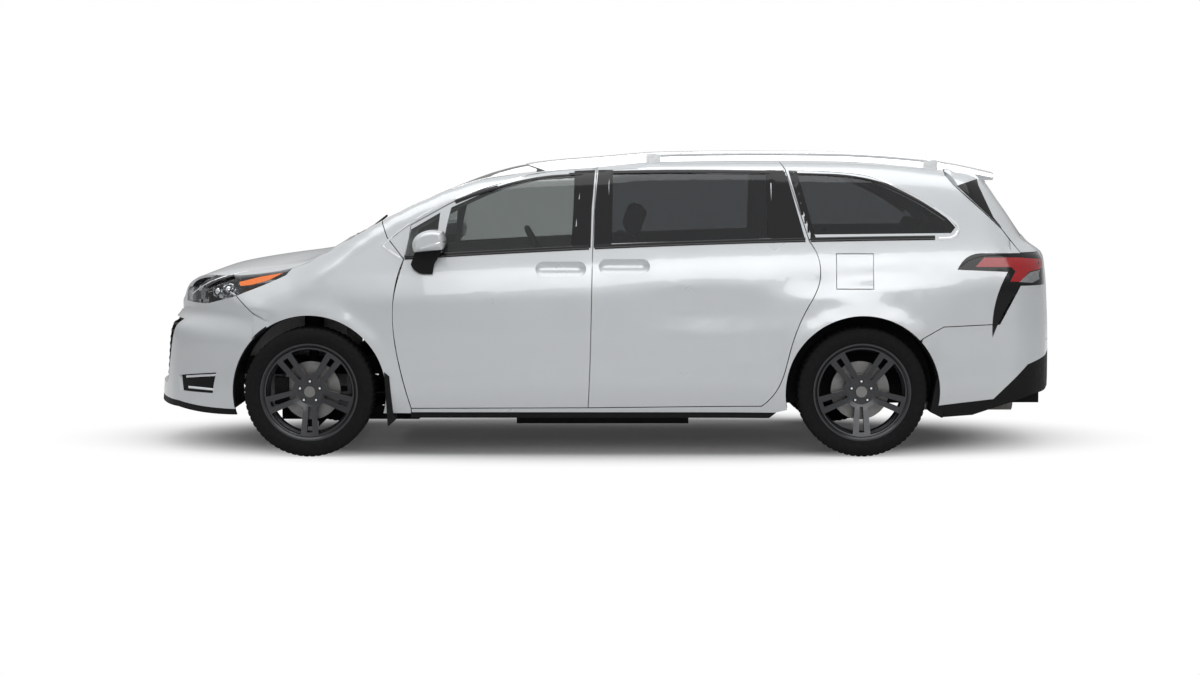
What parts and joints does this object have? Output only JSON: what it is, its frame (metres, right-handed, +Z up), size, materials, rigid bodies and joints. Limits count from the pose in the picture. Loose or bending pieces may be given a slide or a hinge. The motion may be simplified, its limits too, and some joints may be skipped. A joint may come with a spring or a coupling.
{
  "type": "minivan",
  "caption": "seven-seat minivan with hinged front doors, closed sliding side doors, lifting hood and tailgate, a fuel lid, steered front wheels and four free-rolling wheels",
  "frame": {"origin": "on the ground, under the middle of the length and of the width", "axes": "+X to the tail, +Y to the passenger's side, +Z up; the nose points to -X"},
  "size_m": [5.1758, 2.282, 1.692],
  "materials": {
    "body_paint": "metallic pearl silver, clear coated",
    "clear_glass": "light green tint",
    "dark_glass": "dark privacy tint",
    "lamp_glass": "clear lens",
    "red_lens": "red lens",
    "black_plastic": "fine grain",
    "tyre_rubber": "matte",
    "wheel_alloy": "dark gunmetal paint with machined edges",
    "brake_iron": "machined faces",
    "chassis_steel": "black underbody paint",
    "exhaust_steel": "heat dulled",
    "engine_alloy": "as cast",
    "seat_cloth": "woven grey",
    "trim_plastic": "soft grain",
    "rail_metal": "satin anodised"
  },
  "bodies": {
    "main_body": {"arch_liners": "black_plastic", "body_sides": "body_paint", "cowl": "black_plastic", "dashboard": "trim_plastic", "engine": "engine_alloy", "exhaust": "exhaust_steel", "fenders": "body_paint", "floor_pan": "chassis_steel", "front_bumper": "body_paint", "front_seats": "seat_cloth", "front_suspension": "chassis_steel", "fuel_tank": "black_plastic", "grilles": "black_plastic", "headlamps": "lamp_glass", "lower_trim": "black_plastic", "middle_seats": "seat_cloth", "mud_flaps": "black_plastic", "quarter_windows": "dark_glass", "rear_bumper": "body_paint", "rear_seats": "seat_cloth", "rear_suspension": "chassis_steel", "roof_panel": "body_paint", "roof_rails": "rail_metal", "sliding_doors": "body_paint", "sliding_windows": "dark_glass", "steering_wheel": "trim_plastic", "tail_lamps": "red_lens", "windscreen": "clear_glass", "wipers": "black_plastic"},
    "hood_body": {"hood": "body_paint"},
    "tailgate_body": {"tailgate": "body_paint", "rear_window": "dark_glass"},
    "door_left_body": {"front_door_left": "body_paint", "front_window_left": "clear_glass", "mirror_left": "body_paint", "mirror_foot_left": "black_plastic"},
    "door_right_body": {"front_door_right": "body_paint", "front_window_right": "clear_glass", "mirror_right": "body_paint", "mirror_foot_right": "black_plastic"},
    "fuel_lid_body": {"fuel_lid": "body_paint"},
    "knuckle_left_body": {"front_knuckle_left": "chassis_steel"},
    "knuckle_right_body": {"front_knuckle_right": "chassis_steel"},
    "wheel_front_left_body": {"tyre_front_left": "tyre_rubber", "rim_front_left": "wheel_alloy", "hub_disc_front_left": "brake_iron"},
    "wheel_front_right_body": {"tyre_front_right": "tyre_rubber", "rim_front_right": "wheel_alloy", "hub_disc_front_right": "brake_iron"},
    "wheel_rear_left_body": {"tyre_rear_left": "tyre_rubber", "rim_rear_left": "wheel_alloy", "hub_disc_rear_left": "brake_iron"},
    "wheel_rear_right_body": {"tyre_rear_right": "tyre_rubber", "rim_rear_right": "wheel_alloy", "hub_disc_rear_right": "brake_iron"}
  },
  "joints": [
    {"name": "front_door_left_hinge", "type": "hinge", "parent": "main_body", "child": "door_left_body", "pos_m": [-1.156, -0.972, 0.7], "axis": [0, 0, -1], "range_deg": [0, 65]},
    {"name": "front_door_right_hinge", "type": "hinge", "parent": "main_body", "child": "door_right_body", "pos_m": [-1.156, 0.972, 0.7], "axis": [0, 0, 1], "range_deg": [0, 65]},
    {"name": "hood_hinge", "type": "hinge", "parent": "main_body", "child": "hood_body", "pos_m": [-1.29, 0, 1.205], "axis": [0, 1, 0], "range_deg": [0, 50]},
    {"name": "tailgate_hinge", "type": "hinge", "parent": "main_body", "child": "tailgate_body", "pos_m": [1.966, 0, 1.632], "axis": [0, -1, 0], "range_deg": [0, 80]},
    {"name": "fuel_lid_hinge", "type": "hinge", "parent": "main_body", "child": "fuel_lid_body", "pos_m": [1.287, -0.995, 0.95], "axis": [0, 0, -1], "range_deg": [0, 90]},
    {"name": "steer_left", "type": "hinge", "parent": "main_body", "child": "knuckle_left_body", "pos_m": [-1.625, -0.746, 0.358], "axis": [0, 0.2079, 0.9781], "range_deg": [-35, 35]},
    {"name": "steer_right", "type": "hinge", "parent": "main_body", "child": "knuckle_right_body", "pos_m": [-1.625, 0.746, 0.358], "axis": [0, -0.2079, 0.9781], "range_deg": [-35, 35]},
    {"name": "spin_front_left", "type": "hinge", "parent": "knuckle_left_body", "child": "wheel_front_left_body", "pos_m": [-1.625, -0.861, 0.358], "axis": [0, 1, 0], "continuous": true},
    {"name": "spin_front_right", "type": "hinge", "parent": "knuckle_right_body", "child": "wheel_front_right_body", "pos_m": [-1.625, 0.861, 0.358], "axis": [0, 1, 0], "continuous": true},
    {"name": "spin_rear_left", "type": "hinge", "parent": "main_body", "child": "wheel_rear_left_body", "pos_m": [1.436, -0.861, 0.358], "axis": [0, 1, 0], "continuous": true},
    {"name": "spin_rear_right", "type": "hinge", "parent": "main_body", "child": "wheel_rear_right_body", "pos_m": [1.436, 0.861, 0.358], "axis": [0, 1, 0], "continuous": true}
  ],
  "couplings": [
    {"joint": "steer_right", "follows": "steer_left", "ratio": 1}
  ]
}
